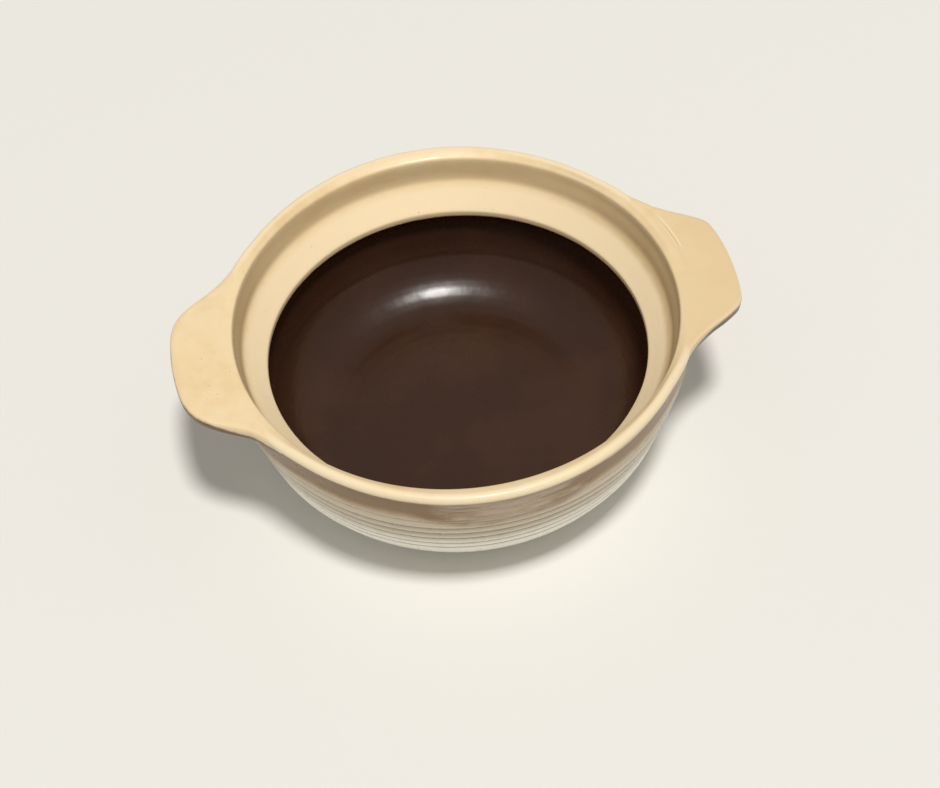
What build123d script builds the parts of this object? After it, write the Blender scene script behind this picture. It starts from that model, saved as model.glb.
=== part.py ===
"""Sand pot: a wide, low stoneware casserole with a ribbed wall and two flat lug handles.

Millimetres, +Z up. The origin is the middle of the foot, on the surface that the pot stands on.
+X runs through the right handle. The pot has no moving pieces: a turned bowl carries two lugs
that are luted to its wall with clay before the firing.
"""
from build123d import *
from math import cos, radians, sin, sqrt, tan
import os

os.makedirs("parts", exist_ok=True)

# Rim: a bead that crowns near its outside, and slopes down to the gallery that a lid drops into
pot_height = 76.0
rim_radius = 99.2
rim_width = 7.0
rim_round = 3.1
rim_slope = 31.4
rim_edge_height = 6.8
rim_inner_round = 1.2
gallery_depth = 12.8
gallery_cove = 7.0

# Sloping ledge that carries a lid, and the lip that it ends in
ledge_slope = 43.5
ledge_width = 11.6
lip_face = 2.8
lip_round = 1.25
flange_root_depth = 33.0
flange_cove = 7.0

# Outer wall: a plain band, throwing ribs down a taper, then a belly that turns in to the foot
band_depth = 17.7
band_inset = 2.25
rib_start_depth = 18.7
rib_pitch = 4.95
rib_count = 6
rib_relief = 0.5
wall_taper = 17.4
wall_thickness = 7.3
belly_depth = 44.0

# Foot and floor
foot_radius = 54.0
foot_flare = 2.2
foot_height = 3.0
foot_width = 7.0
foot_recess = 1.8
foot_edge = 0.6
floor_thickness = 7.0

# Lug handles, formed by hand: the left one is the wider, with the rounder tip
lug_projection = 20.5
right_tip_bow = 2.7
right_tip_half_width = 25.2
right_corner_round = 14.2
right_side_hollow = 2.4
left_tip_bow = 6.0
left_tip_half_width = 27.2
left_corner_round = 8.0
left_side_hollow = -0.7
lug_root_angle = 31.8
lug_root_bury = 3.2
lug_drop = 2.1
lug_tip_thickness = 5.4
lug_neck_thickness = 8.6
lug_neck_overhang = 6.1
lug_cove_depth = 16.8
lug_edge_round = 2.5
overrun = 12.0

# Heights and places that follow from the sizes above
taper = tan(radians(wall_taper))
crown = (rim_radius - rim_round, pot_height - rim_round)
gallery_radius = rim_radius - rim_width
rim_start = (crown[0] - rim_round * sin(radians(rim_slope)), crown[1] + rim_round * cos(radians(rim_slope)))
inner_edge = (gallery_radius, rim_start[1] - (rim_start[0] - gallery_radius) * tan(radians(rim_slope)))
lip_radius = gallery_radius - ledge_width
rib_start_radius = rim_radius - band_inset
gallery_corner = pot_height - gallery_depth
lip_top = gallery_corner - ledge_width * tan(radians(ledge_slope))
lip_bottom = lip_top - lip_face
floor_top = foot_height + floor_thickness
recess_radius = foot_radius - foot_width
belly_end = (foot_radius + foot_flare, foot_height)


def taper_point(depth, inset=0):
    """Radius and height of the straight taper at a depth below the rim, set in by an inset."""
    return (rib_start_radius - (depth - rib_start_depth) * taper - inset, pot_height - depth)


# The belly is one arc that leaves the taper without a break and ends beside the foot
inward = (-cos(radians(wall_taper)), sin(radians(wall_taper)))
belly_start = taper_point(belly_depth)
belly_run = (belly_end[0] - belly_start[0], belly_end[1] - belly_start[1])
belly_round = (belly_run[0] ** 2 + belly_run[1] ** 2) / (
    2 * (belly_run[0] * inward[0] + belly_run[1] * inward[1])
)
belly_centre = (belly_start[0] + belly_round * inward[0], belly_start[1] + belly_round * inward[1])


def wall_point(depth, inset=0):
    """Radius and height of the outer wall at a depth below the rim, on the taper or the belly."""
    if depth <= belly_depth:
        return taper_point(depth, inset)
    height = pot_height - depth
    return (
        belly_centre[0] + sqrt(belly_round**2 - (belly_centre[1] - height) ** 2) - inset,
        height,
    )


def crown_point(angle):
    """Radius and height on the rim's bead, at an angle from straight up, outward positive."""
    return (crown[0] + rim_round * sin(radians(angle)), crown[1] + rim_round * cos(radians(angle)))


def outer_wall():
    """Lines of the outside of the bowl, from the top of the rim down to the edge of the foot."""
    side_on = 90
    rim_edge = (rim_radius, pot_height - rim_edge_height)
    ThreePointArc(crown_point(0), crown_point(side_on / 2), crown_point(side_on))
    Line(crown_point(side_on), rim_edge)
    Line(rim_edge, wall_point(band_depth))
    Line(wall_point(band_depth), wall_point(rib_start_depth, rib_relief))
    for rib in range(rib_count):
        groove_depth = rib_start_depth + rib * rib_pitch
        ThreePointArc(
            wall_point(groove_depth, rib_relief),
            wall_point(groove_depth + rib_pitch / 2),
            wall_point(groove_depth + rib_pitch, rib_relief),
        )
    last_groove_depth = rib_start_depth + rib_count * rib_pitch
    belly_middle_depth = (last_groove_depth + pot_height - foot_height) / 2
    ThreePointArc(
        wall_point(last_groove_depth, rib_relief),
        wall_point(belly_middle_depth),
        belly_end,
    )
    Line(belly_end, (foot_radius, foot_height / 2))
    Line((foot_radius, foot_height / 2), (foot_radius, 0))


# The bowl with its hollow filled, which the lugs are fitted against
with BuildPart() as bowl_outside:
    with BuildSketch(Plane.XZ):
        with BuildLine():
            Line((0, 0), (0, pot_height))
            Line((0, pot_height), crown_point(0))
            outer_wall()
            Line((foot_radius, 0), (0, 0))
        make_face()
    revolve(axis=Axis.Z)

# Bowl
with BuildPart() as pot_body:
    with BuildSketch(Plane.XZ) as wall_section:
        inner_belly = taper_point(belly_depth, wall_thickness)
        flange_root = taper_point(flange_root_depth, wall_thickness)
        floor_round = (inner_belly[1] - floor_top) / (1 - inward[1])
        floor_edge = (inner_belly[0] + floor_round * inward[0], floor_top)
        with BuildLine():
            Line((0, floor_top), floor_edge)
            TangentArc(floor_edge, inner_belly, tangent=(1, 0))
            Line(inner_belly, flange_root)
            Line(flange_root, (lip_radius, lip_bottom))
            Line((lip_radius, lip_bottom), (lip_radius, lip_top))
            Line((lip_radius, lip_top), (gallery_radius, gallery_corner))
            Line((gallery_radius, gallery_corner), inner_edge)
            Line(inner_edge, rim_start)
            ThreePointArc(rim_start, crown_point(-rim_slope / 2), crown_point(0))
            outer_wall()
            Line((foot_radius, 0), (recess_radius, 0))
            Line((recess_radius, 0), (recess_radius, foot_recess))
            Line((recess_radius, foot_recess), (0, foot_recess))
            Line((0, foot_recess), (0, floor_top))
        make_face()
        for place, radius in (
            (inner_edge, rim_inner_round),
            ((gallery_radius, gallery_corner), gallery_cove),
            ((lip_radius, lip_top), lip_round),
            ((lip_radius, lip_bottom), lip_round),
            (flange_root, flange_cove),
            ((foot_radius, 0), foot_edge),
            ((recess_radius, 0), foot_edge),
        ):
            fillet(wall_section.vertices().sort_by_distance(place)[0], radius)
    revolve(axis=Axis.Z)

# Lugs: a plan, cut by a section turned round the pot, with its edges rounded
lug_reach = rim_radius + lug_projection
lug_top = pot_height - lug_drop
lug_slope = (lug_neck_thickness - lug_tip_thickness) / (lug_projection - lug_neck_overhang)


def pull_lug(tip_bow, tip_half_width, corner_round, side_hollow):
    """One lug on the +X side, from how its tip bows, its half width, its corners and its sides."""
    with BuildPart() as lug:
        with BuildSketch(Plane.XY.offset(lug_top)) as lug_plan:
            tip_x = lug_reach - tip_bow
            root_x = (rim_radius - lug_root_bury) * cos(radians(lug_root_angle))
            root_y = (rim_radius - lug_root_bury) * sin(radians(lug_root_angle))
            with BuildLine():
                ThreePointArc((tip_x, -tip_half_width), (lug_reach, 0), (tip_x, tip_half_width))
                SagittaArc((tip_x, tip_half_width), (root_x, root_y), side_hollow)
                Line((root_x, root_y), (root_x, -root_y))
                SagittaArc((root_x, -root_y), (tip_x, -tip_half_width), side_hollow)
            make_face()
            fillet(lug_plan.vertices().group_by(Axis.X)[-1], corner_round)
        extrude(amount=-(lug_cove_depth + overrun))
        with BuildSketch(Plane.XZ):
            under_neck = (rim_radius + lug_neck_overhang, lug_top - lug_neck_thickness)
            under_end = (lug_reach + overrun, lug_top - lug_tip_thickness + overrun * lug_slope)
            cove_end = taper_point(lug_cove_depth, lug_root_bury)
            with BuildLine():
                Line((root_x, lug_top), (lug_reach + overrun, lug_top))
                Line((lug_reach + overrun, lug_top), under_end)
                Line(under_end, under_neck)
                TangentArc(under_neck, cove_end, tangent=(-1, -lug_slope))
                Line(cove_end, (root_x, pot_height - lug_cove_depth))
                Line((root_x, pot_height - lug_cove_depth), (root_x, lug_top))
            make_face()
        revolve(axis=Axis.Z, mode=Mode.INTERSECT)
        lug_sides = lug.faces().filter_by(GeomType.CYLINDER)
        fillet(lug_sides.edges().filter_by(GeomType.LINE, reverse=True), lug_edge_round)
        add(bowl_outside.part, mode=Mode.SUBTRACT)
    return lug.part


with BuildPart() as right_handle:
    add(pull_lug(right_tip_bow, right_tip_half_width, right_corner_round, right_side_hollow))

with BuildPart() as left_handle:
    mirror(
        pull_lug(left_tip_bow, left_tip_half_width, left_corner_round, left_side_hollow),
        about=Plane.YZ,
    )

pot_body.part.label = "pot_body"
right_handle.part.label = "right_handle"
left_handle.part.label = "left_handle"

export_step(pot_body.part, "parts/pot_body.step")
export_step(right_handle.part, "parts/right_handle.step")
export_step(left_handle.part, "parts/left_handle.step")
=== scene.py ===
"""Sand pot: a wide stoneware casserole with a stepped lid gallery and two flat lug handles.

Builds the glazed bowl as it comes off the wheel, the two lugs that are luted to it by hand,
their glazes, and a plain pale studio round them.
"""
from math import atan, atan2, ceil, cos, degrees, exp, hypot, pi, radians, sin, sqrt, tan

import bmesh
import bpy
from bpy.props import FloatProperty, FloatVectorProperty, PointerProperty
from mathutils import Matrix, Vector
from mathutils import noise as pebble


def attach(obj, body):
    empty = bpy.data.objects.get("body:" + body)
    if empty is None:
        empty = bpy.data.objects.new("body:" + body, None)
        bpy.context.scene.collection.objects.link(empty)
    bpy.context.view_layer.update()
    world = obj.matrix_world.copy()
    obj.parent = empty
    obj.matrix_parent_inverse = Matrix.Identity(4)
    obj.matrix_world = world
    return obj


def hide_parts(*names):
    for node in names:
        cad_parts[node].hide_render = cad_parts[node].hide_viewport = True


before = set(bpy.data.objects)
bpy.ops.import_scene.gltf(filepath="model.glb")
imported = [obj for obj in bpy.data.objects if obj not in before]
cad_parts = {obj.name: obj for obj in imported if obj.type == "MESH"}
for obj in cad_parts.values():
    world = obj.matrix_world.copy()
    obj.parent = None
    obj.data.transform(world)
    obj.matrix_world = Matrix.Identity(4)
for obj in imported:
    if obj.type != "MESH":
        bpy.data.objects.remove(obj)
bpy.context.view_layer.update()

bl_info = {
    "name": "Sand Pot",
    "version": (1, 0, 0),
    "blender": (4, 5, 0),
    "location": "3D View > Sidebar > Sand Pot",
    "description": "Builds a glazed sand pot with two lug handles, and a studio for it",
    "category": "Add Mesh",
}

MM = 0.001
TURN_STEPS = 256
SPACING = 1.2 * MM
MERGE_DISTANCE = 0.001 * MM


def length(name, description, default):
    """A size in metres that a user may change."""
    return FloatProperty(
        name=name, description=description, default=default, min=0, unit="LENGTH", precision=5,
    )


def angle(name, description, default):
    """An angle that a user may change."""
    return FloatProperty(name=name, description=description, default=radians(default), unit="ROTATION")


def share(name, description, default):
    """A number from 0 to 1 that a user may change."""
    return FloatProperty(
        name=name, description=description, default=default, min=0, max=1, subtype="FACTOR",
    )


def colour(name, description, default):
    """A linear colour that a user may change."""
    return FloatVectorProperty(
        name=name, description=description, default=default, min=0, max=1, subtype="COLOR",
    )


class SANDPOT_PG_bowl(bpy.types.PropertyGroup):
    """Sizes of the turned bowl."""

    height: length("Height", "From the foot to the top of the rim", 76.0 * MM)
    rim_radius: length("Rim radius", "Outside of the rim", 99.1 * MM)
    rim_inner_round: length("Rim inner round", "Radius of the bead, inside its crown", 3.4 * MM)
    rim_outer_round: length("Rim outer round", "Radius of the bead, outside its crown", 2.2 * MM)
    rim_slope: angle("Rim slope", "Fall of the rim from its bead to the gallery", 29.8)
    gallery_top: length("Gallery top radius", "Where the rim turns down into the gallery", 92.35 * MM)
    gallery_radius: length("Gallery radius", "Foot of the gallery's upright wall", 91.5 * MM)
    gallery_depth: length("Gallery depth", "From the top of the rim down to the ledge", 12.8 * MM)
    lip_radius: length("Lip radius", "Inner edge of the ledge", 80.6 * MM)
    lip_depth: length("Lip depth", "From the top of the rim down to the lip", 23.8 * MM)
    lip_face: length("Lip face", "Height of the lip's upright edge", 2.8 * MM)
    wall_thickness: length("Wall thickness", "Of the side below the gallery", 7.3 * MM)
    wall_taper: angle("Wall taper", "Lean of the side, from upright", 15.6)
    foot_radius: length("Foot radius", "Outside of the foot ring", 54.0 * MM)
    foot_height: length("Foot height", "From the ground to the belly", 3.0 * MM)
    floor_thickness: length("Floor thickness", "Of the bottom above the foot", 7.0 * MM)
    throwing_wave: length("Throwing wave", "Depth of the finger rings inside", 0.02 * MM)


class SANDPOT_PG_lugs(bpy.types.PropertyGroup):
    """Sizes that both lugs share."""

    reach: length("Reach", "From the middle of the bowl to the tip of a lug", 119.7 * MM)
    drop: length("Drop", "Of a lug's top below the rim's", 2.1 * MM)
    press: share("Press", "How flat the rim's bead is pressed beside the lugs", 0.88)
    tip_thickness: length("Tip thickness", "At the end of a lug", 5.3 * MM)
    neck_thickness: length("Neck thickness", "Where a lug leaves the wall", 8.6 * MM)
    edge_slant: angle("Edge slant", "Lean of a lug's edge, in towards its underside", 6.0)
    cove_depth: length("Cove depth", "From the rim down to the foot of the cove under a lug", 16.8 * MM)


class SANDPOT_PG_glaze(bpy.types.PropertyGroup):
    """Colours of the glazes and the clay."""

    cream: colour("Cream glaze", "Main colour of the outside", (0.885, 0.70, 0.425))
    # Partly glaze that runs thin on edges, partly painted highlights on the rims, rib crests and lug
    # edges, and the painted glints of the luting groove
    thin: colour("Thin glaze", "Where the glaze runs thin, on edges and ribs", (0.95, 0.83, 0.605))
    # A brown tone below the rim, partly painted shade and a painted dark reflection under the bead
    band: colour("Band glaze", "Below the rim, where the brown clay shows through", (0.20, 0.098, 0.03))
    # Streaks in the band, with a painted reflection that is stronger on the pot's front
    streaks_and_sheen: colour(
        "Milky band glaze", "On the front of the band, where the glaze lies thicker", (0.45, 0.345, 0.25),
    )
    # Painted shade under the lugs and down their edges
    under: colour("Under glaze", "Thin dark glaze under the lugs", (0.07, 0.029, 0.007))
    # A paler, cooler tone over the ribs, partly a painted reflection of the pale ground
    side: colour("Side glaze", "Over the ribs, paler and cooler", (0.57, 0.50, 0.385))
    # Painted reflection of the pale ground, low on the wall
    base: colour("Base glaze", "Low on the wall, nearly white", (0.98, 0.955, 0.84))
    # Painted shade deep in the gallery
    gallery: colour("Gallery glaze", "Where it lies deep in the gallery", (0.62, 0.445, 0.23))
    # A pinker tone, and painted light on the ledge and the lip
    ledge: colour("Ledge glaze", "On the ledge and the lip, paler and pinker", (0.985, 0.80, 0.52))
    # Painted shade on the pot's right and front
    right_side_shade: colour("Flashed glaze", "On the side that was further from the fire", (0.75, 0.57, 0.325))
    # Glaze pooled in grooves, with painted shade there
    pooled_and_shaded: colour("Pooled glaze", "Where the glaze lies deep, in grooves", (0.27, 0.165, 0.08))
    liner: colour("Liner glaze", "Glossy brown glaze below the lip", (0.040, 0.016, 0.008))
    clay: colour("Bare clay", "The unglazed foot", (0.47, 0.33, 0.21))
    speck: colour("Iron specks", "Small dark specks in the glaze", (0.20, 0.10, 0.045))


class SANDPOT_PG_studio(bpy.types.PropertyGroup):
    """The camera, the lamp and the ground."""

    distance: length("Camera distance", "From the camera to the point that it looks at", 827.76 * MM)
    azimuth: angle("Camera azimuth", "Round the pot, from its front towards its left", 9.65)
    elevation: angle("Camera elevation", "Above level", 50.29)
    roll: angle("Camera roll", "Turn of the picture", -3.87)
    lens: FloatProperty(name="Lens", description="Focal length", default=74.61, min=1, unit="CAMERA")
    lamp_power: FloatProperty(
        name="Lamp power", description="Of the main lamp", default=460, min=0, unit="POWER",
    )
    sky_light: share("Sky light", "Strength of the light from all round", 0.35)
    ground: colour("Ground", "Colour of the floor and the sky", (0.815, 0.806, 0.771))


SETTINGS = {
    "sandpot_bowl": SANDPOT_PG_bowl,
    "sandpot_lugs": SANDPOT_PG_lugs,
    "sandpot_glaze": SANDPOT_PG_glaze,
    "sandpot_studio": SANDPOT_PG_studio,
}


# edge: above 0 on edges and crests, below 0 in grooves; the others are distances along the
# section in millimetres, from the lip, from the foot, and down the wall from the side of the rim.
# On a lug, the first two hold values past the liner and above the foot, and the last marks the painted
# shade below its edge;
# there edge also marks the painted highlight along its edge and the painted glints of the luting groove.
LAYERS = ("edge", "liner", "foot", "wall")
PAST_LINER = 40.0
ABOVE_FOOT = -60.0
FULLY_SHADED = 8.0


class Section:
    """A line drawn in the XZ plane, radius and height, with the clay on its right-hand side."""

    def __init__(self, start):
        self.bm = bmesh.new()
        self.layers = {key: self.bm.verts.layers.float.new(key) for key in LAYERS}
        self.first = self.last = self.bm.verts.new((start[0], 0, start[1]))

    def place(self):
        """Where the line has come to, as radius and height."""
        return Vector((self.last.co.x, self.last.co.z))

    def line(self, end):
        """A straight run to a point."""
        start, end = self.place(), Vector(end)
        steps = max(1, ceil((end - start).length / SPACING))
        for step in range(steps):
            place = start.lerp(end, (step + 1) / steps)
            vert = self.bm.verts.new((place[0], 0, place[1]))
            self.bm.edges.new((self.last, vert))
            self.last = vert

    def arc(self, centre, turn):
        """Goes round a centre by an angle, anticlockwise where that is positive."""
        steps = max(2, ceil((self.place() - centre).length * abs(turn) / SPACING))
        swept = bmesh.ops.spin(
            self.bm, geom=[self.last], cent=(centre[0], 0, centre[1]), axis=(0, 1, 0),
            dvec=(0, 0, 0), angle=-turn, steps=steps, use_merge=False,
        )
        self.last = [item for item in swept["geom_last"] if isinstance(item, bmesh.types.BMVert)][0]

    def corner(self, place, after, radius):
        """A straight run to a corner on the way to the next point, and a round turn there."""
        place, after = Vector(place), Vector(after)
        ahead = (place - self.place()).normalized()
        leaving = (after - place).normalized()
        turn = -ahead.angle_signed(leaving)
        self.line(place - ahead * radius * tan(abs(turn) / 2))
        side = Vector((-ahead.y, ahead.x)) * (1 if turn > 0 else -1)
        self.arc(self.place() + side * radius, turn)

    def bow(self, end, rise):
        """An arc to a point, which stands proud of the straight line by a rise."""
        run = Vector(end) - self.place()
        half = run.length / 2
        radius = (half**2 + rise**2) / (2 * rise)
        across = Vector((run.y, -run.x)).normalized()
        self.arc(self.place() + run / 2 + across * (radius - rise), -4 * atan(rise / half))

    def tangent_arc(self, end, heading):
        """An arc to a point that sets off in a given direction."""
        run = Vector(end) - self.place()
        left = Vector((-heading[1], heading[0])).normalized()
        radius = run.length_squared / (2 * run.dot(left))
        centre = self.place() + left * radius
        turn = -(self.place() - centre).angle_signed(Vector(end) - centre)
        self.arc(centre, turn)

    def walk(self):
        """The section's points in order."""
        vert, edge, points = self.first, None, [self.first]
        while vert is not self.last:
            edge = [other for other in vert.link_edges if other is not edge][0]
            vert = edge.other_vert(vert)
            points.append(vert)
        return points


# A bend counts as an edge or a groove by its sum over this width, and fully at this bend per metre
BEND_WIDTH = 0.9 * MM
BEND_POINTS = 6
FULL_BEND = 500


def turn_section(section, marks):
    """A mesh turned from a section, with the distance along it from each named mark."""
    bm = section.bm
    points = section.walk()
    run = [0.0]
    for before, after in zip(points, points[1:]):
        run.append(run[-1] + (after.co - before.co).length)
    bend = []
    for before, here, after in zip(points, points[1:], points[2:]):
        ahead, leaving = here.co - before.co, after.co - here.co
        side_on = ahead.x * leaving.z - ahead.z * leaving.x
        bend.append(atan2(side_on, ahead.dot(leaving)))
    for index, vert in enumerate(points):
        total = 0.0
        for other in range(max(1, index - BEND_POINTS), min(len(points) - 1, index + BEND_POINTS + 1)):
            total -= bend[other - 1] * exp(-(((run[other] - run[index]) / BEND_WIDTH) ** 2))
        sharpness = total / (BEND_WIDTH * sqrt(pi)) / FULL_BEND
        vert[section.layers["edge"]] = max(-1.0, min(1.0, sharpness))
    for key, mark in marks.items():
        gaps = [hypot(point.co.x - mark[0], point.co.z - mark[1]) for point in points]
        origin = run[gaps.index(min(gaps))]
        for vert, along in zip(points, run):
            vert[section.layers[key]] = (along - origin) / MM
    bmesh.ops.spin(
        bm, geom=bm.verts[:] + bm.edges[:], cent=(0, 0, 0), axis=(0, 0, 1), dvec=(0, 0, 0),
        angle=2 * pi, steps=TURN_STEPS, use_merge=True,
    )
    bmesh.ops.remove_doubles(bm, verts=bm.verts[:], dist=MERGE_DISTANCE)
    bmesh.ops.recalc_face_normals(bm, faces=bm.faces[:])
    return bm


def finish_piece(bm, name, material, node):
    """The mesh as a smooth object that stands for a CAD node and rides on its body."""
    for face in bm.faces:
        face.smooth = True
    mesh = bpy.data.meshes.new(name)
    bm.to_mesh(mesh)
    bm.free()
    mesh.materials.append(material)
    piece = bpy.data.objects.new(name, mesh)
    bpy.context.scene.collection.objects.link(piece)
    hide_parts(node)
    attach(piece, "root")


# Depths of the grooves between the ribs, below the top of the rim, as the fingers left them
GROOVES = (12.8, 18.4, 24.1, 29.3, 34.5, 40.1, 44.4, 48.4)
RIB_RISE = (0.4, 0.5, 0.6, 0.65, 0.65, 0.5, 0.45)
GROOVE_CUT = 0.55 * MM

# The bowl's smaller sizes. A depth is below the top of the rim, an inset within its outside.
BAND_FOOT = (2.15 * MM, 18.7 * MM)
BAND_INSET = 1.75 * MM
UNDERCUT = (1.05 * MM, 4.3 * MM)
UNDERCUT_ROUND = 0.9 * MM
BEAD_WRAP = radians(128)
PRESSED_DEPTH = 1.8 * MM
INNER_EDGE_ROUND = 1.3 * MM
GALLERY_COVE = 4.8 * MM
LIP_ROUND = 1.25 * MM
FLANGE_ROOT_DEPTH = 33 * MM
FLANGE_COVE = 7 * MM
BELLY_DEPTH = 44 * MM
BELLY_RISE = 5.1 * MM
FOOT_FLARE = 2.2 * MM
FOOT_SHOULDER = 1 * MM
FOOT_WIDTH = 7 * MM
FOOT_RECESS = 1.8 * MM
FOOT_EDGE = 0.6 * MM
LINER_MARK = 0.4 * MM
FOOT_MARK = (1.5 * MM, 1 * MM)

# Where the rim's bead is pressed flat, in degrees from the middle of a lug: none, then all
PRESSED_TURNS = (38, 14)
FAR_HALF_TURNS = (-2, 10)
FAR_HALF_RELEASE = 0.6


def ease(value, start, end):
    """0 at one value, 1 at another, and a smooth rise between them."""
    part = max(0.0, min(1.0, (value - start) / (end - start)))
    return part * part * (3 - 2 * part)


def lug_angle(turn):
    """Degrees round the bowl from the middle of the nearer lug, positive on its far side."""
    side = abs(degrees(atan2(sin(turn), cos(turn))))
    return min(side, 180 - side) * (1 if sin(turn) > 0 else -1)


def pressed(turn):
    """How far the rim is pressed at a turn: beside the lugs, less on the right one's far half."""
    apart = lug_angle(turn)
    flat = ease(abs(apart), *PRESSED_TURNS)
    if cos(turn) > 0:
        flat *= 1 - FAR_HALF_RELEASE * ease(apart, *FAR_HALF_TURNS)
    return flat


class BowlShape:
    """Places on the bowl that its pieces share, in metres."""

    def __init__(self, sizes):
        self.sizes = sizes
        self.taper = tan(sizes.wall_taper)
        self.crown = sizes.rim_radius - sizes.rim_outer_round
        self.wall_start = (sizes.rim_radius - BAND_FOOT[0], sizes.height - BAND_FOOT[1])
        self.belly_height = sizes.height - BELLY_DEPTH

    def on_taper(self, height, inset=0.0):
        """Place on the straight lean of the side at a height."""
        radius = self.wall_start[0] - (self.wall_start[1] - height) * self.taper - inset
        return Vector((radius, height))

    def bead(self, radius, turn, press):
        """Height of the rim's bead at a radius near its crown."""
        bend = self.sizes.rim_outer_round if radius > self.crown else self.sizes.rim_inner_round
        across = min(abs(radius - self.crown), bend)
        height = self.sizes.height - bend + sqrt(bend**2 - across**2)
        return self.press_down(height, turn, press)

    def press_down(self, height, turn, press):
        """A height on the rim once its bead is pressed flat beside the lugs."""
        flat = self.sizes.height - PRESSED_DEPTH
        return height - max(0.0, height - flat) * pressed(turn) * press


def draw_bowl(sizes):
    """The bowl's whole section, from the middle of the floor over the rim to the middle below."""
    shape = BowlShape(sizes)
    lean = Vector((-cos(sizes.wall_taper), sin(sizes.wall_taper)))
    floor = sizes.foot_height + sizes.floor_thickness
    belly_inside = shape.on_taper(shape.belly_height, sizes.wall_thickness)
    belly_round = (belly_inside[1] - floor) / (1 - lean[1])
    flange_root = shape.on_taper(sizes.height - FLANGE_ROOT_DEPTH, sizes.wall_thickness)
    lip_top = Vector((sizes.lip_radius, sizes.height - sizes.lip_depth))
    lip_low = lip_top - Vector((0, sizes.lip_face))
    gallery_foot = Vector((sizes.gallery_radius, sizes.height - sizes.gallery_depth))
    inner_centre = Vector((shape.crown, sizes.height - sizes.rim_inner_round))
    outer_centre = Vector((shape.crown, sizes.height - sizes.rim_outer_round))
    up_slope = Vector((-sin(sizes.rim_slope), cos(sizes.rim_slope)))
    rim_start = inner_centre + up_slope * sizes.rim_inner_round
    rim_fall = (rim_start[0] - sizes.gallery_top) * tan(sizes.rim_slope)
    inner_edge = Vector((sizes.gallery_top, rim_start[1] - rim_fall))
    section = Section((0, floor))
    section.line((belly_inside[0] + belly_round * lean[0], floor))
    section.tangent_arc(belly_inside, (1, 0))
    section.corner(flange_root, lip_low, FLANGE_COVE)
    section.corner(lip_low, lip_top, LIP_ROUND)
    section.corner(lip_top, gallery_foot, LIP_ROUND)
    section.corner(gallery_foot, inner_edge, GALLERY_COVE)
    section.corner(inner_edge, rim_start, INNER_EDGE_ROUND)
    section.line(rim_start)
    section.arc(inner_centre, -sizes.rim_slope)
    section.arc(outer_centre, -BEAD_WRAP)
    groove = [shape.on_taper(sizes.height - depth * MM, GROOVE_CUT) for depth in GROOVES]
    groove[0].x = sizes.rim_radius - BAND_INSET
    under_bead = Vector((sizes.rim_radius - UNDERCUT[0], sizes.height - UNDERCUT[1]))
    section.corner(under_bead, groove[0], UNDERCUT_ROUND)
    section.line(groove[0])
    for end, rise in zip(groove[1:], RIB_RISE):
        section.bow(end, rise * MM)
    belly_end = Vector((sizes.foot_radius + FOOT_FLARE, sizes.foot_height))
    section.bow(belly_end, BELLY_RISE)
    section.corner((sizes.foot_radius, sizes.foot_height / 2), (sizes.foot_radius, 0), FOOT_SHOULDER)
    foot_inside = sizes.foot_radius - FOOT_WIDTH
    section.corner((sizes.foot_radius, 0), (foot_inside, 0), FOOT_EDGE)
    section.corner((foot_inside, 0), (foot_inside, FOOT_RECESS), FOOT_EDGE)
    section.corner((foot_inside, FOOT_RECESS), (0, FOOT_RECESS), FOOT_EDGE)
    section.line((0, FOOT_RECESS))
    marks = {
        "liner": lip_low + Vector((LINER_MARK, 0)),
        "foot": belly_end + Vector(FOOT_MARK),
        "wall": outer_centre + Vector((sizes.rim_outer_round, 0)),
    }
    return section, marks


# Where the unevenness that hands left comes in: none at the first height or radius, all at the next
TRUE_FOOT = 8 * MM
TRUE_FADE = 12 * MM
UPPER_WALL = (50 * MM, 65 * MM)
RIM_RADII = (93 * MM, 96 * MM)
GALLERY_HEIGHTS = (64 * MM, 72 * MM)
GALLERY_RADII = (96 * MM, 93 * MM)
COVE_FLOOR = (50 * MM, 63 * MM)
COVE_TOP = (71 * MM, 64 * MM)
COVE_RADII = (95 * MM, 93 * MM)
LUTED_TURNS = (40, 27)
LUTED_HEIGHTS = (45 * MM, 55 * MM)

# How strong it is, in millimetres, and the run of the finger rings
SQUARED_RIM = 0.5
OVAL_GALLERY = 0.6
SHIFTED_GALLERY = 0.25
OVAL_COVE = 0.35
SAGGING_RIM = 0.05
CLAY_GRAIN = 0.10
GRAIN_HEIGHT = 14 * MM
RIM_BAND = 6 * MM
RING_PITCH = 5.3 * MM
RINGED_RADIUS = 80 * MM
RING_FADE_MIDDLE = 9 * MM
RING_FADE_LIP = 6 * MM


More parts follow.
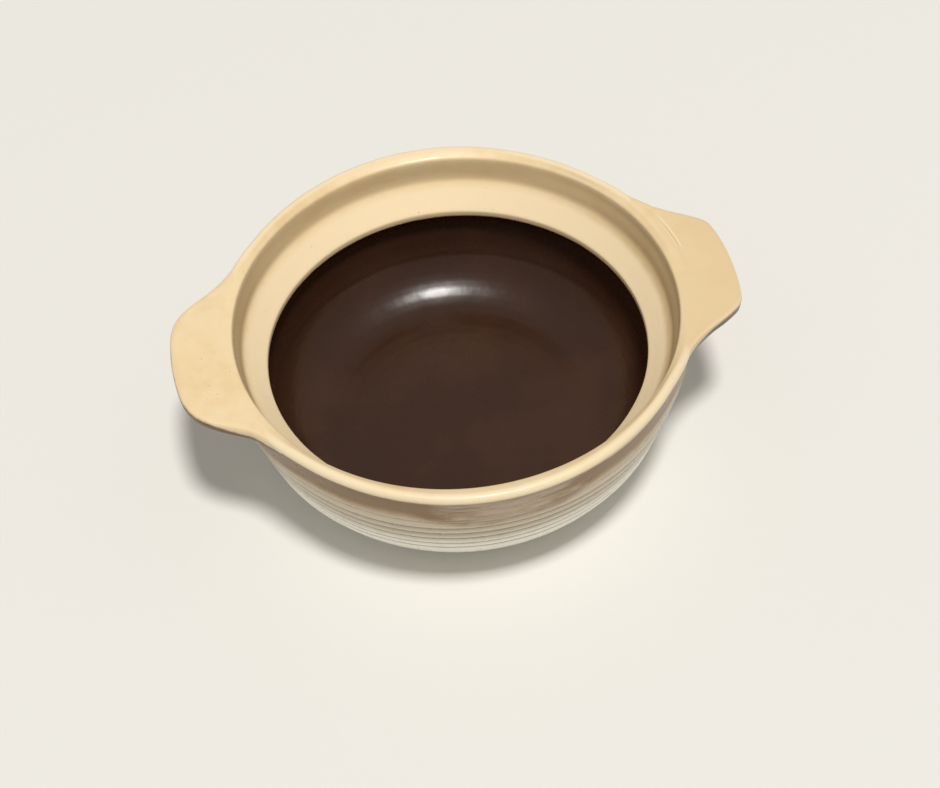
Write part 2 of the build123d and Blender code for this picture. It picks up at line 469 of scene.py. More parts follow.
def weather_bowl(bm, sizes, press):
    """Small hand-made unevenness: finger rings inside, and a rim and ribs that are not quite true.

    Beside the lugs the rim keeps its place, and its bead is pressed flat.
    """
    shape = BowlShape(sizes)
    edge = bm.verts.layers.float["edge"]
    floor = sizes.foot_height + sizes.floor_thickness
    lip_low = sizes.height - sizes.lip_depth - sizes.lip_face
    rim_low = sizes.height - RIM_BAND
    bm.normal_update()
    moves = []
    for vert in bm.verts:
        place = vert.co
        radius, turn = hypot(place.x, place.y), atan2(place.y, place.x)
        if radius < 1 * MM:
            continue
        outward = Vector((place.x / radius, place.y / radius, 0))
        faces_in = vert.normal.dot(outward) < 0.3 and radius < RINGED_RADIUS
        if faces_in and floor - 1 * MM < place.z < lip_low:
            along = radius + (place.z - floor) * 1.1
            fade = min(1.0, radius / RING_FADE_MIDDLE)
            fade *= min(1.0, (lip_low - place.z) / RING_FADE_LIP)
            wave = sin(along / RING_PITCH * 2 * pi - turn + 0.6 * sin(2 * turn))
            moves.append((vert, vert.normal * (wave - 1) * sizes.throwing_wave * fade))
            continue
        high = max(0.0, min(1.0, (place.z - TRUE_FOOT) / TRUE_FADE))
        free = 1 - ease(abs(lug_angle(turn)), *LUTED_TURNS) * ease(place.z, *LUTED_HEIGHTS)
        sway = 0.07 * (sin(2 * turn + 0.7) - 1) + 0.05 * (sin(3 * turn + 2.1) - 1)
        outside = ease(place.z, *UPPER_WALL) * ease(radius, *RIM_RADII)
        sway += SQUARED_RIM * (cos(4 * turn) - 1) * outside
        grain = pebble.noise(Vector((cos(turn) * 3, sin(turn) * 3, place.z / GRAIN_HEIGHT))) - 0.6
        gallery = ease(place.z, *GALLERY_HEIGHTS) * ease(radius, *GALLERY_RADII)
        wide = (OVAL_GALLERY * cos(2 * turn) + SHIFTED_GALLERY * cos(turn)) * gallery
        cove = ease(place.z, *COVE_FLOOR) * ease(place.z, *COVE_TOP) * ease(radius, *COVE_RADII)
        wide -= OVAL_COVE * (1 + cos(2 * turn)) * cove
        wide += (sway + CLAY_GRAIN * grain) * high * free
        rise = max(0.0, (place.z - rim_low) / RIM_BAND)
        sink = -SAGGING_RIM * (1 + sin(2 * turn - 0.4)) * rise * free
        sink -= (place.z - shape.press_down(place.z, turn, press)) / MM
        moves.append((vert, outward * wide * MM + Vector((0, 0, sink * MM))))
        if place.z > rim_low:
            vert[edge] *= 1 - pressed(turn)
    for vert, move in moves:
        vert.co += move


# Half of each lug's plan, from the middle of its tip to where it feathers out along the rim:
# degrees round the bowl, and millimetres from its middle. They were formed by hand, and the
# left one is the wider. In millimetres, valley is the depth of the luting groove at the lug's far
# half, edge the round of its upper edge, swell how much thicker it gets towards the roots, and
# shade_depth how far down its edge the painted shade starts.
LUG_PLANS = {
    "right": {
        "plan": (
            (0, 119.65), (4, 119.6), (8, 119.5), (10, 119.3), (11, 119.0), (12, 118.3), (13, 117.0),
            (14, 115.3), (16, 111.8), (18, 108.1), (20, 105.2), (22, 103.0), (24, 101.2), (26, 99.9),
            (28, 98.9), (30, 98.0), (32.5, 96.9),
        ),
        "valley": 0.5,
        "edge": 1.4,
        "swell": 0.8,
        "shade_depth": 2.35,
    },
    "left": {
        "plan": (
            (0, 118.8), (4, 118.75), (8, 118.65), (10, 118.35), (12, 117.5), (14, 115.9), (16, 113.5),
            (18, 110.5), (20, 107.3), (22, 104.4), (24, 102.1), (26, 100.6), (28, 99.7), (30, 99.0),
            (32, 98.1), (34.5, 96.9),
        ),
        "valley": 0.0,
        "edge": 2.1,
        "swell": 1.3,
        "shade_depth": 2.1,
    },
}
PLAN_STEPS = 12

# The lugs' smaller sizes: how deep the root lies in the wall, how far past the rim the neck is,
# the strip that the edge's section covers, where the edge swells, in degrees, the underside beside
# the edge, and the rows of points from the wall round the edge
LUG_BURY = 3.2 * MM
NECK_REACH = 6.2 * MM
EDGE_STRIP = 2 * MM
COLUMN_SPACING = 0.9 * MM
SWELL_TURNS = (16, 23)
FOOT_RUN = 5 * MM
FOOT_ROUND_SHARE = 0.45
UNDER_BLEND = 0.625
NEAR_SHARE, NEAR_ROWS, FAR_ROWS = 0.32, 24, 17
EDGE_ROWS = 22
UNDER_ROWS = 26

# How a lug's top leaves the rim's bead: just under it, from a step past its crown, and level after
HIDDEN = 0.012 * MM
LEAVING_STEP = 0.3 * MM
LEVEL_RUN = 9 * MM

# How the painted shade darkens down a lug's edge, on the same scale as down the wall, in millimetres
DARK_START, DARK_FADE, DARK_SPAN = 2.8, 1.3, 1.6

# The luting groove: where it starts and how softly, how far past the rim and how wide, the turns
# in degrees where its painted glints and shade start and end, and in millimetres where these lie
GROOVE_TURN, GROOVE_EASE = radians(1), radians(2.5)
GROOVE_OFFSET = 1.5 * MM
GROOVE_WIDTH = 0.6 * MM
CREASE_START, CREASE_END = (5, 8), (20, 15)
GLINT_OFFSET, GLINT_WIDTH, CREASE_SHADE_WIDTH = 0.85, 0.25, 0.35

# The unevenness of a lug's flat faces: its patches, its depth in millimetres, and where it starts
PAT_SIZE = 17 * MM
PAT_DEPTH, PAT_SINK = 0.28, 0.2
PAT_START, PAT_FULL = 3 * MM, 8 * MM


def smooth_plan(plan):
    """Points of half an outline, on a smooth curve through a plan's degrees and millimetres."""
    past_end = tuple(2 * last - before for last, before in zip(plan[-1], plan[-2]))
    ends = [(-plan[1][0], plan[1][1]), *plan, past_end]
    points = []
    for before, here, after, beyond in zip(ends, ends[1:], ends[2:], ends[3:]):
        for step in range(PLAN_STEPS):
            t = step / PLAN_STEPS
            weights = (
                (-t + 2 * t * t - t**3) / 2, (2 - 5 * t * t + 3 * t**3) / 2,
                (t + 4 * t * t - 3 * t**3) / 2, (t**3 - t * t) / 2,
            )
            turn, radius = (
                sum(weight * knot[axis] for weight, knot in zip(weights, (before, here, after, beyond)))
                for axis in (0, 1)
            )
            points.append(Vector((cos(radians(turn)), sin(radians(turn)))) * radius * MM)
    last_turn, last_radius = plan[-1]
    points.append(Vector((cos(radians(last_turn)), sin(radians(last_turn)))) * last_radius * MM)
    return points


def offset_line(points, distance):
    """The points of a line moved to its left."""
    moved = []
    for index, point in enumerate(points):
        run = points[min(index + 1, len(points) - 1)] - points[max(index - 1, 0)]
        moved.append(point + Vector((-run.y, run.x)).normalized() * distance)
    return moved


def even_points(points, spacing=None, rows=None):
    """The same line with its points at even steps, of about a spacing or of a number of rows."""
    run = [0.0]
    for before, after in zip(points, points[1:]):
        run.append(run[-1] + (after - before).length)
    count = rows or max(2, round(run[-1] / spacing))
    spaced, index = [], 0
    for step in range(count + 1):
        want = run[-1] * step / count
        while index < len(run) - 2 and run[index + 1] < want:
            index += 1
        gap = run[index + 1] - run[index]
        part = (want - run[index]) / gap if gap else 0.0
        spaced.append(points[index].lerp(points[index + 1], part))
    return spaced


class LugShape:
    """Heights of a lug's top and underside, and the outline of its edge."""

    def __init__(self, bowl, sizes, side):
        self.bowl = BowlShape(bowl)
        self.side = side
        self.press = sizes.press
        self.rim = bowl.rim_radius
        self.top_level = bowl.height - sizes.drop
        self.tip_thickness = sizes.tip_thickness
        self.swell = LUG_PLANS[side]["swell"] * MM
        self.valley = LUG_PLANS[side]["valley"] * MM
        self.edge = LUG_PLANS[side]["edge"] * MM
        self.slant = sizes.edge_slant
        neck = (self.rim + NECK_REACH, self.top_level - sizes.neck_thickness)
        self.slope = (sizes.neck_thickness - sizes.tip_thickness) / (sizes.reach - neck[0])
        self.neck = Vector(neck)
        self.cove_end = self.bowl.on_taper(bowl.height - sizes.cove_depth, LUG_BURY)
        down = Vector((self.slope, -1)).normalized()
        chord = self.cove_end - self.neck
        self.cove_round = chord.length_squared / (2 * chord.dot(down))
        self.cove_centre = self.neck + down * self.cove_round

    def top(self, radius, turn):
        """Height of the top, which leaves the rim's bead without a step and levels out."""
        round_turn = turn if self.side == "right" else pi - turn
        leave = self.bowl.crown + LEAVING_STEP
        if radius <= leave:
            return self.bowl.bead(radius, round_turn, self.press) - HIDDEN
        start = self.bowl.bead(leave, round_turn, self.press) - HIDDEN
        share = pressed(round_turn) * self.press
        fall = LEAVING_STEP / sqrt(self.bowl.sizes.rim_outer_round**2 - LEAVING_STEP**2)
        t = min(1.0, (radius - leave) * fall / (2 * (self.bowl.sizes.height - self.top_level)))
        sunk = (2 * t - t * t) * (1 - share) + ease(radius, leave, leave + LEVEL_RUN) * share
        height = start - (start - self.top_level) * sunk
        reach = 1 / (1 + exp(-(turn - GROOVE_TURN) / GROOVE_EASE))
        across = (radius - self.rim - GROOVE_OFFSET) / GROOVE_WIDTH
        return height - self.valley * reach * exp(-across * across)

    def crease_glints(self, radius, turn):
        """Painted glints along the two edges of the luting groove, and a painted dark line inside it."""
        across = abs(radius - self.rim - GROOVE_OFFSET) / MM
        along = ease(turn, *CREASE_START) * ease(turn, *CREASE_END) * self.valley / MM
        thin = exp(-(((across - GLINT_OFFSET) / GLINT_WIDTH) ** 2))
        crease_shade = exp(-((across / CREASE_SHADE_WIDTH) ** 2))
        return along * (3 * thin - 0.8 * crease_shade)

    def under(self, radius):
        """Height of the underside: a gentle slope, and a cove down to the wall."""
        if radius >= self.neck.x:
            return self.neck.y + (radius - self.neck.x) * self.slope
        across = min(self.cove_centre.x - radius, self.cove_round)
        return self.cove_centre.y + sqrt(self.cove_round**2 - across**2)

    def thickness(self, turn):
        """Height of the edge, which swells towards the roots."""
        return self.tip_thickness + self.swell * ease(abs(degrees(turn)), *SWELL_TURNS)

    def edge_profile(self, over, thickness, rows):
        """Distances inward from the outline and heights, from the top round to the underside."""
        section = Section((self.edge + EDGE_STRIP, over))
        lean = tan(self.slant)
        crest = self.edge * ((1 - cos(self.slant)) - (1 + sin(self.slant)) * lean)
        foot = Vector((crest + thickness * lean, over - thickness))
        section.corner((crest, over), foot, self.edge)
        section.corner(foot, foot + Vector((FOOT_RUN, 0)), self.edge * FOOT_ROUND_SHARE)
        points = [Vector((vert.co.x, vert.co.z)) for vert in section.walk()]
        section.bm.free()
        return even_points(points, rows=rows)


def pull_lug(bowl, sizes, side):
    """One lug on the +X side as a mesh: columns across it, rows from the rim round and back."""
    shape = LugShape(bowl, sizes, side)
    root_radius = bowl.rim_radius - LUG_BURY
    half = even_points(smooth_plan(LUG_PLANS[side]["plan"]), spacing=COLUMN_SPACING)
    outline = [Vector((point.x, -point.y)) for point in reversed(half)] + half[1:]
    inset = offset_line(outline, shape.edge + EDGE_STRIP)
    normals = [(point - inner).normalized() for point, inner in zip(outline, inset)]
    stations = [NEAR_SHARE * step / (NEAR_ROWS - 1) for step in range(NEAR_ROWS)]
    stations += [NEAR_SHARE + (1 - NEAR_SHARE) * (step + 1) / FAR_ROWS for step in range(FAR_ROWS)]
    rows = len(stations) + EDGE_ROWS + UNDER_ROWS
    bm = bmesh.new()
    bmesh.ops.create_grid(bm, x_segments=len(outline) - 1, y_segments=rows - 1, size=0.5)
    layers = {key: bm.verts.layers.float.new(key) for key in LAYERS}
    profiles = {}
    for vert in bm.verts:
        column = round((vert.co.x + 0.5) * (len(outline) - 1))
        row = round((vert.co.y + 0.5) * (rows - 1))
        rim_point, inner, normal = outline[column], inset[column], normals[column]
        turn = atan2(rim_point.y, rim_point.x)
        start = Vector((cos(turn), sin(turn))) * root_radius
        if column not in profiles:
            over = shape.top(inner.length, turn)
            profiles[column] = shape.edge_profile(over, shape.thickness(turn), EDGE_ROWS)
        profile = profiles[column]
        edge, wall = 0.0, -FULLY_SHADED
        if row < len(stations):
            flat = start.lerp(inner, stations[row])
            height = shape.top(flat.length, atan2(flat.y, flat.x))
            # Painted glints on the edges of the luting groove, and painted shade inside it
            edge = shape.crease_glints(flat.length, degrees(atan2(flat.y, flat.x)))
        elif row < len(stations) + EDGE_ROWS:
            step = row - len(stations) + 1
            inward, height = profile[step]
            flat = rim_point - normal * inward
            fallen = (profile[0].y - height) / MM
            thicker = (shape.thickness(turn) - shape.tip_thickness) / MM
            shade_depth = LUG_PLANS[side]["shade_depth"] + 2 * thicker
            # A painted highlight along the lug's rounded edge, then painted shade from partway down it
            edge = 0.6 * max(0.0, 1 - abs(fallen - 0.5) / 0.5)
            wall = DARK_START - DARK_FADE * (shade_depth - fallen) / DARK_SPAN
            if fallen > shade_depth:
                wall = FULLY_SHADED
        else:
            part = (row - len(stations) - EDGE_ROWS + 1) / UNDER_ROWS
            inward, low = profile[-1]
            wall_place = Vector((cos(turn), sin(turn))) * shape.cove_end.x
            flat = (rim_point - normal * inward).lerp(wall_place, part)
            blend = ease(part, 0, UNDER_BLEND)
            height = low * (1 - blend) + shape.under(flat.length) * blend
            wall = FULLY_SHADED
        vert[layers["edge"]] = edge
        vert[layers["liner"]] = PAST_LINER
        vert[layers["foot"]] = ABOVE_FOOT
        vert[layers["wall"]] = wall
        past_rim = flat.length - bowl.rim_radius - PAT_START
        if past_rim > 0:
            wave = pebble.noise(Vector((flat.x, flat.y, 3.0 * MM)) / PAT_SIZE)
            height += (wave * PAT_DEPTH - PAT_SINK) * MM * min(1.0, past_rim / PAT_FULL)
        vert.co = (flat.x, flat.y, height)
    close_lug(bm)
    if side == "left":
        bmesh.ops.scale(bm, vec=(-1, 1, 1), verts=bm.verts[:])
    bmesh.ops.recalc_face_normals(bm, faces=bm.faces[:])
    return bm


def close_lug(bm):
    """Closes a lug inside the wall: a strip between its first and last rows, then its two ends."""
    open_edges = [edge for edge in bm.edges if edge.is_boundary]
    corners = [vert for vert in bm.verts if len(vert.link_faces) == 1]
    corners.sort(key=lambda vert: vert.co.y)
    low, high = corners[:2], corners[2:]
    chains = []
    for start in sorted(low, key=lambda vert: vert.co.z):
        for first in [edge for edge in start.link_edges if edge.is_boundary]:
            chain, vert, edge = [first], first.other_vert(start), first
            while vert not in low and vert not in high:
                edge = [
                    other for other in vert.link_edges if other.is_boundary and other is not edge
                ][0]
                chain.append(edge)
                vert = edge.other_vert(vert)
            if vert in high:
                chains.append(chain)
    bmesh.ops.bridge_loops(bm, edges=chains[0] + chains[1])
    still_open = [edge for edge in open_edges if edge.is_valid and edge.is_boundary]
    bmesh.ops.holes_fill(bm, edges=still_open, sides=0)
    bmesh.ops.triangulate(bm, faces=[face for face in bm.faces if len(face.verts) > 4])


class Socket:
    """A node's output, or a number, that Python expressions can work with."""

    def __init__(self, tree, link):
        self.tree = tree
        self.link = link

    def math(self, operation, *others, clamp=False):
        """A Math node on this value and others."""
        inputs = {index: value for index, value in enumerate((self, *others))}
        return self.tree.node("ShaderNodeMath", {"operation": operation, "use_clamp": clamp}, inputs)

    def __add__(self, other):
        return self.math("ADD", other)

    def __sub__(self, other):
        return self.math("SUBTRACT", other)

    def __mul__(self, other):
        return self.math("MULTIPLY", other)

    def __radd__(self, other):
        return self.math("ADD", other)

    def __rmul__(self, other):
        return self.math("MULTIPLY", other)

    def __rsub__(self, other):
        return self.tree.node("ShaderNodeMath", {"operation": "SUBTRACT"}, {0: other, 1: self})

    def within(self, low, high):
        """0 below one value, 1 above the other, and a smooth rise between them."""
        settings = {"interpolation_type": "SMOOTHSTEP"}
        inputs = {"Value": self, "From Min": low, "From Max": high}
        return self.tree.node("ShaderNodeMapRange", settings, inputs, "Result")


class Nodes:
    """The nodes of a material or of the sky."""

    def __init__(self, owner):
        owner.use_nodes = True
        self.nodes = owner.node_tree.nodes
        self.links = owner.node_tree.links
        self.nodes.clear()

    def node(self, kind, settings=None, inputs=None, output=0):
        """A node by its type, its settings, and the values or links of its sockets."""
        made = self.nodes.new(kind)
        for name, value in (settings or {}).items():
            setattr(made, name, value)
        for name, value in (inputs or {}).items():
            if isinstance(value, Socket):
                self.links.new(value.link, made.inputs[name])
            else:
                made.inputs[name].default_value = value
        return Socket(self, made.outputs[output]) if len(made.outputs) else made


class Finish(Nodes):
    """A material's nodes."""

    def __init__(self, name):
        self.material = bpy.data.materials.new(name)
        super().__init__(self.material)

    def attribute(self, name):
        """A number that the mesh holds at each point."""
        return self.node("ShaderNodeAttribute", {"attribute_name": name}, output="Fac")

    def coordinates(self):
        """The place on the piece, in metres."""
        return self.node("ShaderNodeTexCoord", output="Object")

    def noise(self, place, size, detail=2.0, roughness=0.5, shift=0.0):
        """Noise whose patches are about a size across, in metres."""
        if shift:
            moved = {0: place, 1: (shift, shift, shift)}
            place = self.node("ShaderNodeVectorMath", {"operation": "ADD"}, moved)
        inputs = {"Vector": place, "Scale": 1 / size, "Detail": detail, "Roughness": roughness}
        return self.node("ShaderNodeTexNoise", {}, inputs)

    def spots(self, place, size):
        """Distance from scattered points, in cells of a size."""
        return self.node("ShaderNodeTexVoronoi", {}, {"Vector": place, "Scale": 1 / size}, "Distance")

    def mix(self, first, second, factor):
        """Two colours mixed by a factor."""
        inputs = {0: factor, 6: first, 7: second}
        for index in (6, 7):
            if not isinstance(inputs[index], Socket):
                inputs[index] = (*inputs[index], 1)
        return self.node("ShaderNodeMix", {"data_type": "RGBA"}, inputs, 2)

    def surface(self, shader):
        """The finished material with this shader on it."""
        self.node("ShaderNodeOutputMaterial", {}, {"Surface": shader})
        return self.material


# Sizes of the patterns in the glaze
CLOUD_SIZE = 34 * MM
PATCH_SIZE = 7 * MM
FINE_SIZE = 1.3 * MM
STREAK_SIZE = 13 * MM
SPECK_SIZE = 5.2 * MM
GRAIN_SIZE = 1.9 * MM
PEEL_SIZE = 4.2 * MM
SAG_SIZE = 15 * MM

# Spans over which the glazes and the painted light and shade start and end: millimetres from the lip,
# then down the outside
LEDGE_START, LEDGE_END = (0, 3), (12, 18)
GALLERY_START, GALLERY_END = (14.5, 19), (25.5, 27.2)
RIM_START = (31, 34)
BAND_START, BAND_END = (1.5, 2.8), (9, 20)
BASE_START = (28, 42)
RIBS_START = (12, 16)

# Spans over which painted light and shade differ on the pot's right, front and back: metres from its
# middle
RIGHT_SHADE_SPAN = (0.06, 0.11)
SHADED_RIGHT = (0.03, 0.08)
LIT_BACK = (0.02, 0.085)
LOW_BAND_START, LOW_BAND_END = (0.02, 0.055), (0.085, 0.095)
SHEEN_FRONT = (0.088, 0.099)


def shaded(value, shades):
    """A colour with each of its parts times a number, up to 1."""
    return tuple(min(1.0, part * shade) for part, shade in zip(value, shades))


def glaze_finish(name, colours, under=None):
    """Cream glaze that thins on edges and pools in grooves, brown liner glaze, and bare clay, with
    painted highlights, reflections and shade on edges, grooves, ledge, gallery, band, ribs and lugs.
    """
    finish = Finish(name)
    place = finish.coordinates()
    cloud = finish.noise(place, CLOUD_SIZE, 3)
    patch = finish.noise(place, PATCH_SIZE, 3, 0.6, 0.31)
    fine = finish.noise(place, FINE_SIZE, 2, 0.6, 0.17)
    edge = finish.attribute("edge") + (patch - 0.5) * 0.25
    lip = finish.attribute("liner")
    down = finish.attribute("wall")
    wall = down + (patch - 0.5) * 2.5 + (cloud - 0.5) * 3
    across = finish.node("ShaderNodeSeparateXYZ", {}, {0: place}, "X")
    away = finish.node("ShaderNodeSeparateXYZ", {}, {0: place}, "Y")
    # The pot's front: there the painted reflection on the band is stronger, and the band's painted shade
    # and the paler tones below it each start further down the wall
    front = (0 - away).within(*SHEEN_FRONT)

    # Cream, deeper in clouds, and with painted shade towards the pot's right and front
    deep = shaded(colours.cream, (0.93, 0.86, 0.76))
    glaze = finish.mix(colours.cream, deep, (cloud * 0.7 + patch * 0.5).within(0.45, 0.85))
    right_shade_mask = across - away * 0.35 + (cloud - 0.5) * 0.03
    glaze = finish.mix(glaze, colours.right_side_shade, right_shade_mask.within(*RIGHT_SHADE_SPAN) * 0.75)

    # Ledge, pinker and with painted light, and painted shade in the gallery, reaching further on the
    # right and fainter at the back, where painted light lies
    ledge = lip.within(*LEDGE_START) * (1 - lip.within(*LEDGE_END))
    glaze = finish.mix(glaze, colours.ledge, ledge)
    shade = (lip + (patch - 0.5) * 2 + across.within(*SHADED_RIGHT) * 2.5).within(*GALLERY_START)
    shade = shade * (1 - lip.within(*GALLERY_END))
    glaze = finish.mix(glaze, colours.gallery, shade * (0.85 - away.within(*LIT_BACK) * 0.75))

    # Dark band below the rim, a brown tone with painted shade under the bead, streaked and with a painted
    # reflection at the front, then a paler, cooler tone over the ribs that is partly a painted
    # reflection, and a painted reflection of the pale ground low on the wall
    streaked = finish.node("ShaderNodeVectorMath", {"operation": "MULTIPLY"}, {0: place, 1: (1, 1, 6)})
    streak = finish.noise(streaked, STREAK_SIZE, 3, 0.6, 0.23)
    streak_and_sheen = (streak + front * 0.5).within(0.6, 1.05)
    band = finish.mix(under or colours.band, under or colours.streaks_and_sheen, streak_and_sheen)
    fade = wall.within(front * 10 + BAND_END[0], front * 9 + BAND_END[1])
    lower = across.within(*LOW_BAND_START) * (1 - across.within(*LOW_BAND_END))
    flank = down + (patch - 0.5) * 1.2 - lower * 1.5
    glaze = finish.mix(glaze, band, flank.within(*BAND_START) * (1 - fade) * 0.92)
    glaze = finish.mix(glaze, colours.side, fade * 0.9)
    base = wall.within(front * 5 + BASE_START[0], front * 3 + BASE_START[1])
    glaze = finish.mix(glaze, colours.base, base * 0.95)

    # Thin on edges and ribs with painted highlights there, pooled in grooves with painted shade there,
    # with iron specks
    glaze = finish.mix(glaze, colours.thin, edge.within(0.12, 0.75) * lip.within(*RIM_START) * 0.5)
    grooves = (0 - edge).within(0.1, 0.55) * (0.35 + wall.within(*RIBS_START) * 0.45)
    glaze = finish.mix(glaze, colours.pooled_and_shaded, grooves)
    specks = finish.spots(place, SPECK_SIZE)
    grain = finish.spots(place, GRAIN_SIZE)
    freckle = (1 - specks.within(0.03, 0.085)) * 0.5 + (1 - grain.within(0.05, 0.14)) * 0.16
    glaze = finish.mix(glaze, colours.speck, freckle * cloud.within(0.35, 0.65))

    # Liner glaze below the lip, rusty where it meets the cream
    bright = shaded(colours.liner, (2.1, 2.1, 2.1))
    liner = finish.mix(colours.liner, bright, cloud.within(0.4, 0.8) * 0.35)
    seam = lip + (patch - 0.5) * 1.6 + (fine - 0.5) * 0.5
    above = seam.within(-0.5, 0.7)
    rusty = shaded(colours.pooled_and_shaded, (0.75, 0.5, 0.4))
    liner = finish.mix(liner, rusty, seam.within(-2.6, -0.3))
    glaze = finish.mix(liner, glaze, above)

    # Bare clay at the foot
    clay_dark = shaded(colours.clay, (0.72, 0.72, 0.72))
    clay = finish.mix(colours.clay, clay_dark, fine.within(0.35, 0.75))
    bare = (finish.attribute("foot") + (patch - 0.5) * 1.8).within(-0.4, 0.4)
    colour_out = finish.mix(glaze, clay, bare)

    # Shine, and a skin that is softly uneven
    shine = 0.36 + patch * 0.08 - (1 - above) * 0.13 - wall.within(0, 4) * 0.12
    roughness = shine * (1 - bare) + 0.86 * bare
    peel = finish.noise(place, PEEL_SIZE, 1.5, 0.4, 0.07) * 0.05
    peel = peel + finish.noise(place, SAG_SIZE, 1, 0.4) * 0.22
    height = peel * (1 - bare) + fine * 0.12 * bare
    bump = finish.node("ShaderNodeBump", {}, {"Strength": 1.0, "Distance": MM, "Height": height})
    shader = finish.node("ShaderNodeBsdfPrincipled", {}, {
        "Base Color": colour_out, "Roughness": roughness, "IOR": 1.45,
        "Coat Weight": (1 - bare) * above * 0.06, "Coat Roughness": 0.09, "Normal": bump,
    })
    return finish.surface(shader)


class SANDPOT_OT_throw_bowl(bpy.types.Operator):
    """Turn the bowl on the wheel: floor, wall, lip, ledge, gallery, rim, ribs and foot"""

    bl_idname = "sandpot.throw_bowl"
    bl_label = "Throw Bowl"

    def execute(self, context):
        sizes = context.scene.sandpot_bowl
        section, marks = draw_bowl(sizes)
        bm = turn_section(section, marks)
        weather_bowl(bm, sizes, context.scene.sandpot_lugs.press)
        material = glaze_finish("bowl_glaze", context.scene.sandpot_glaze)
        finish_piece(bm, "glazed_bowl", material, "pot_body")
        return {"FINISHED"}


class SANDPOT_OT_pull_lugs(bpy.types.Operator):
    """Form the two lug handles and lute them to the wall, just below the crown of the rim"""

    bl_idname = "sandpot.pull_lugs"
    bl_label = "Pull Lugs"

    def execute(self, context):
        scene = context.scene
        # The lugs take the painted shade colour where the bowl has its band
        material = glaze_finish("lug_glaze", scene.sandpot_glaze, scene.sandpot_glaze.under)
        for side in ("left", "right"):
            bm = pull_lug(scene.sandpot_bowl, scene.sandpot_lugs, side)
            finish_piece(bm, side + "_lug", material, side + "_handle")
        return {"FINISHED"}


# The floor and the lamp in metres, the point that the camera looks at, and the colours of the light
FLOOR_RADIUS = 6
FLOOR_SIDES = 96
LAMP_SIZE = 1.28
LAMP_DISTANCE = 8
LAMP_DIRECTION = (0.09, -0.25, 0.964)
LAMP_COLOUR = (1, 0.98, 0.94)
SKY_COLOUR = (1, 0.98, 0.95, 1)
CAMERA_AIM = (1.55 * MM, -14.55 * MM, 37.0 * MM)
FLOOR_BOUNCE = 0.95


def ground_finish(studio):
    """Pale ground that keeps the pot's shadow, and throws back less light than it shows."""
    finish = Finish("studio_ground")
    seen = finish.node("ShaderNodeLightPath", output="Is Camera Ray")
    mirrored = finish.node("ShaderNodeLightPath", output="Is Glossy Ray")
    through = finish.node("ShaderNodeLightPath", output="Is Transmission Ray")
    shown = (seen + mirrored).math("ADD", through, clamp=True)
    bounce = tuple(value * FLOOR_BOUNCE for value in studio.ground)
    tint = finish.mix(bounce, studio.ground, shown)
    shader = finish.node("ShaderNodeBsdfDiffuse", {}, {"Color": tint})
    return finish.surface(shader)


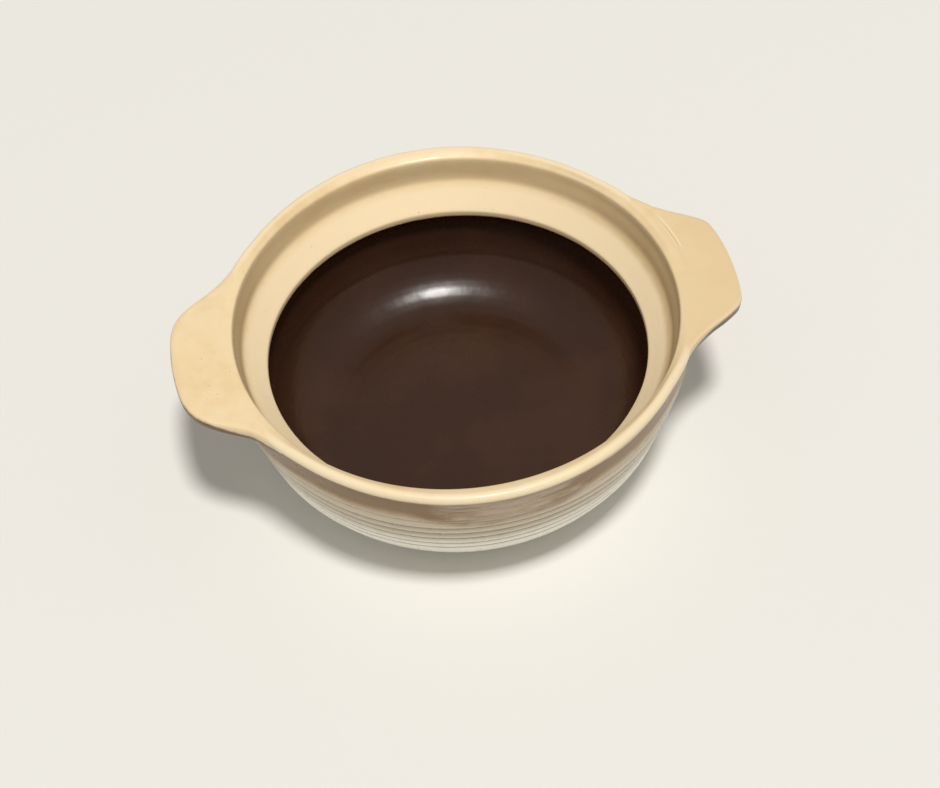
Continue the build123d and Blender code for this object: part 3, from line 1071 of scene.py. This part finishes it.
class SANDPOT_OT_set_studio(bpy.types.Operator):
    """Set the floor, the sky, the lamp and the camera"""

    bl_idname = "sandpot.set_studio"
    bl_label = "Set Studio"

    def execute(self, context):
        scene = context.scene
        studio = scene.sandpot_studio
        scene.view_settings.view_transform = "Standard"
        facing = Matrix.Rotation(-studio.azimuth, 4, "Z")
        self.add_floor(scene, studio)
        self.add_sky(scene, studio)
        self.add_lamp(scene, studio, facing)
        camera = bpy.data.objects.new("camera", bpy.data.cameras.new("camera"))
        camera.data.lens = studio.lens
        tilt = Matrix.Rotation(pi / 2 - studio.elevation, 4, "X")
        camera.matrix_world = (
            Matrix.Translation(CAMERA_AIM) @ facing @ tilt
            @ Matrix.Rotation(studio.roll, 4, "Z") @ Matrix.Translation((0, 0, studio.distance))
        )
        scene.collection.objects.link(camera)
        scene.camera = camera
        return {"FINISHED"}

    def add_floor(self, scene, studio):
        """A wide round floor, which the pot stands on."""
        bm = bmesh.new()
        bmesh.ops.create_circle(bm, cap_ends=True, segments=FLOOR_SIDES, radius=FLOOR_RADIUS)
        mesh = bpy.data.meshes.new("studio_floor")
        bm.to_mesh(mesh)
        bm.free()
        mesh.materials.append(ground_finish(studio))
        floor = bpy.data.objects.new("studio_floor", mesh)
        scene.collection.objects.link(floor)

    def add_sky(self, scene, studio):
        """Light from all round, behind which the camera sees the ground's colour."""
        scene.world = bpy.data.worlds.new("studio_sky")
        sky = Nodes(scene.world)
        seen = sky.node("ShaderNodeLightPath", output="Is Camera Ray")
        shown = sky.node("ShaderNodeBackground", {}, {"Color": (*studio.ground, 1), "Strength": 1})
        light = {"Color": SKY_COLOUR, "Strength": studio.sky_light}
        lighting = sky.node("ShaderNodeBackground", {}, light)
        blend = sky.node("ShaderNodeMixShader", {}, {0: seen, 1: lighting, 2: shown})
        sky.node("ShaderNodeOutputWorld", {}, {"Surface": blend})

    def add_lamp(self, scene, studio, facing):
        """A large soft lamp, nearly overhead, which stays where it is to the camera."""
        lamp = bpy.data.lights.new("softbox", "AREA")
        lamp.shape = "DISK"
        lamp.size = LAMP_SIZE
        lamp.energy = studio.lamp_power
        lamp.color = LAMP_COLOUR
        softbox = bpy.data.objects.new("softbox", lamp)
        towards = facing @ Vector(LAMP_DIRECTION).normalized()
        softbox.location = towards * LAMP_DISTANCE
        softbox.rotation_euler = towards.to_track_quat("Z", "Y").to_euler()
        scene.collection.objects.link(softbox)


class SANDPOT_PT_panel(bpy.types.Panel):
    """Sizes, colours and steps of the sand pot."""

    bl_label = "Sand Pot"
    bl_idname = "SANDPOT_PT_panel"
    bl_space_type = "VIEW_3D"
    bl_region_type = "UI"
    bl_category = "Sand Pot"

    def draw(self, context):
        for name, group in SETTINGS.items():
            box = self.layout.box()
            box.label(text=group.__doc__)
            for key in group.__annotations__:
                box.prop(getattr(context.scene, name), key)
        for operator in STEPS:
            self.layout.operator(operator.bl_idname)


STEPS = (SANDPOT_OT_throw_bowl, SANDPOT_OT_pull_lugs, SANDPOT_OT_set_studio)
CLASSES = (*SETTINGS.values(), *STEPS, SANDPOT_PT_panel)


def register():
    for item in CLASSES:
        bpy.utils.register_class(item)
    for name, group in SETTINGS.items():
        setattr(bpy.types.Scene, name, PointerProperty(type=group))


def unregister():
    for name in SETTINGS:
        delattr(bpy.types.Scene, name)
    for item in reversed(CLASSES):
        bpy.utils.unregister_class(item)


def main():
    register()
    bpy.ops.sandpot.throw_bowl()
    bpy.ops.sandpot.pull_lugs()
    bpy.ops.sandpot.set_studio()


if __name__ == "__main__":
    main()
